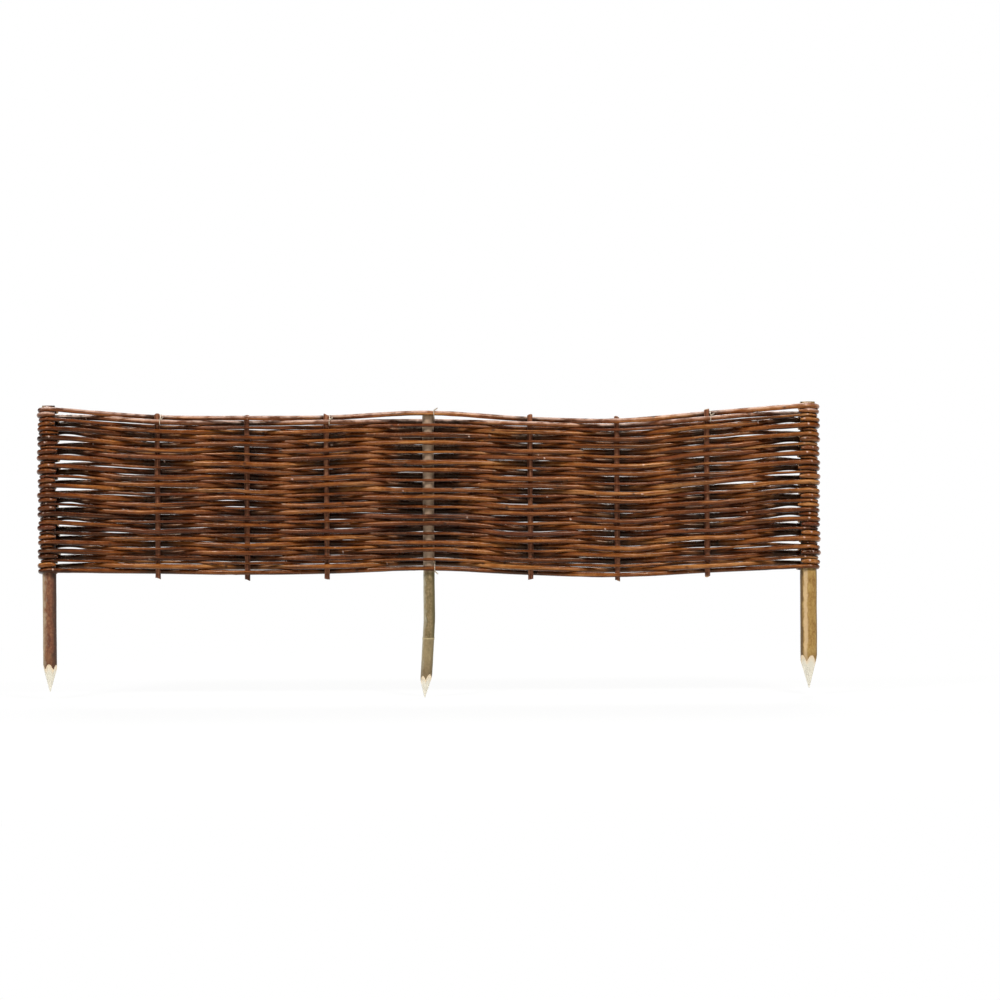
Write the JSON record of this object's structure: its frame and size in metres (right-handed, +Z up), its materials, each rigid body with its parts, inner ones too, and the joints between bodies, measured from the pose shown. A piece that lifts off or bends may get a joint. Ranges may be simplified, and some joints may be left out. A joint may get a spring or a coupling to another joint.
{
  "type": "woven willow hurdle",
  "caption": "Low garden edging panel of willow rods woven in and out of upright rods, on pointed stakes that push into the soil.",
  "frame": {"origin": "on the axis of the middle stake at the ground line, where its leg begins just under the weave", "axes": "+X along the panel towards the right-hand stake seen from the front, +Y through the panel from front to back, +Z up"},
  "size_m": [1.2024, 0.0402, 0.4501],
  "materials": {
    "left_stake_bark": "reddish-brown willow bark with pale scuffs, pale cut point",
    "middle_stake_bark": "grey-olive willow bark, pale cut point",
    "right_stake_bark": "golden-olive willow bark, pale cut point",
    "sail_bark": "brown willow bark, pale cut ends",
    "weaver_bark": "warm reddish-brown willow bark with a slight sheen",
    "tie_wire": "thin dull wire, slightly coppery"
  },
  "bodies": {
    "root": {"left_stake": "left_stake_bark", "middle_stake": "middle_stake_bark", "right_stake": "right_stake_bark", "sail_1": "sail_bark", "sail_2": "sail_bark", "sail_3": "sail_bark", "sail_4": "sail_bark", "sail_5": "sail_bark", "sail_6": "sail_bark", "weaver_01": "weaver_bark", "weaver_02": "weaver_bark", "weaver_03": "weaver_bark", "weaver_04": "weaver_bark", "weaver_05": "weaver_bark", "weaver_06": "weaver_bark", "weaver_07": "weaver_bark", "weaver_08": "weaver_bark", "weaver_09": "weaver_bark", "weaver_10": "weaver_bark", "weaver_11": "weaver_bark", "weaver_12": "weaver_bark", "weaver_13": "weaver_bark", "weaver_14": "weaver_bark", "weaver_15": "weaver_bark", "weaver_16": "weaver_bark", "weaver_17": "weaver_bark", "weaver_18": "weaver_bark", "weaver_19": "weaver_bark", "weaver_20": "weaver_bark", "weaver_21": "weaver_bark", "weaver_22": "weaver_bark", "weaver_23": "weaver_bark", "weaver_24": "weaver_bark", "weaver_25": "weaver_bark", "weaver_26": "weaver_bark", "weaver_27": "weaver_bark", "weaver_28": "weaver_bark", "weaver_29": "weaver_bark", "weaver_30": "weaver_bark", "weaver_31": "weaver_bark", "weaver_32": "weaver_bark", "weaver_33": "weaver_bark", "weaver_34": "weaver_bark", "weaver_35": "weaver_bark", "wire_ties": "tie_wire"}
  },
  "joints": []
}
